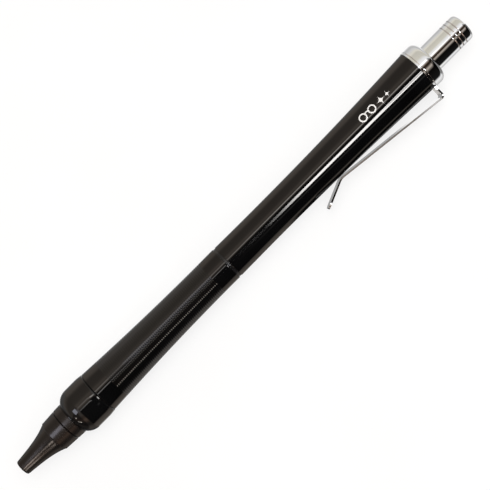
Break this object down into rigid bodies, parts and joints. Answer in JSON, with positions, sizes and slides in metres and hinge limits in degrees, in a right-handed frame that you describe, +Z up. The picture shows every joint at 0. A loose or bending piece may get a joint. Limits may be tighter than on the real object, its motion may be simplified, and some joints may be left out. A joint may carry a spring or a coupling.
{
  "type": "lens cleaning pen",
  "caption": "Click-action lens cleaning pen: slim gloss black barrel with a grooved grip, tapered nose, chrome pocket clip and push button that drives a soft tip out of the nose.",
  "frame": {"origin": "centre of the footprint on the surface that the pen lies on, at that surface's level", "axes": "+X along the pen from the nose to the push button, +Z up, and the clip on the -Y side, rolled down until the edge of its strip is at the surface"},
  "size_m": [0.14, 0.014, 0.0112],
  "materials": {
    "nose_black": "satin black moulded",
    "gloss_black": "gloss black lacquer",
    "chrome": "polished chrome plate",
    "brass": "turned",
    "spring_steel": "bright drawn wire",
    "acetal_white": "natural acetal",
    "acetal_blue": "coloured acetal",
    "inner_black": "moulded black",
    "compound_felt": "felt charged with dry compound",
    "pad_black": "fine suede pad"
  },
  "bodies": {
    "barrel": {"nose_cone": "nose_black", "compound_sleeve": "compound_felt", "nose_collar": "nose_black", "front_ring": "gloss_black", "front_bush": "brass", "grip_barrel": "gloss_black", "barrel_coupler": "inner_black", "tube_guide": "acetal_white", "upper_barrel": "gloss_black", "cam_sleeve": "acetal_white", "clip_ring": "chrome", "rear_collar": "chrome", "guide_bush": "inner_black", "spring_washer": "spring_steel", "return_spring": "spring_steel"},
    "clip": {"clip_arm": "chrome"},
    "button": {"push_button": "chrome", "plunger": "acetal_white"},
    "carrier": {"rotor": "acetal_blue", "tube_plug": "acetal_white", "carrier_tube": "acetal_white", "spring_collar": "inner_black", "tip_holder": "inner_black", "cleaning_pad": "pad_black"}
  },
  "joints": [
    {"name": "button_press", "type": "slide", "parent": "barrel", "child": "button", "axis": [-1, 0, 0], "range_m": [0, 0.008], "stiffness_N_per_m": 250, "springref_m": -0.008},
    {"name": "tip_slide", "type": "slide", "parent": "barrel", "child": "carrier", "axis": [-1, 0, 0], "range_m": [0, 0.008], "deforming": ["return_spring"]},
    {"name": "clip_flex", "type": "hinge", "parent": "barrel", "child": "clip", "pos_m": [0.0555, -0.00494, 0.00289], "axis": [0, -0.3931, 0.9195], "range_deg": [0, 6], "stiffness_Nm_per_rad": 0.6}
  ],
  "couplings": [
    {"joint": "tip_slide", "follows": "button_press", "ratio": 1}
  ]
}
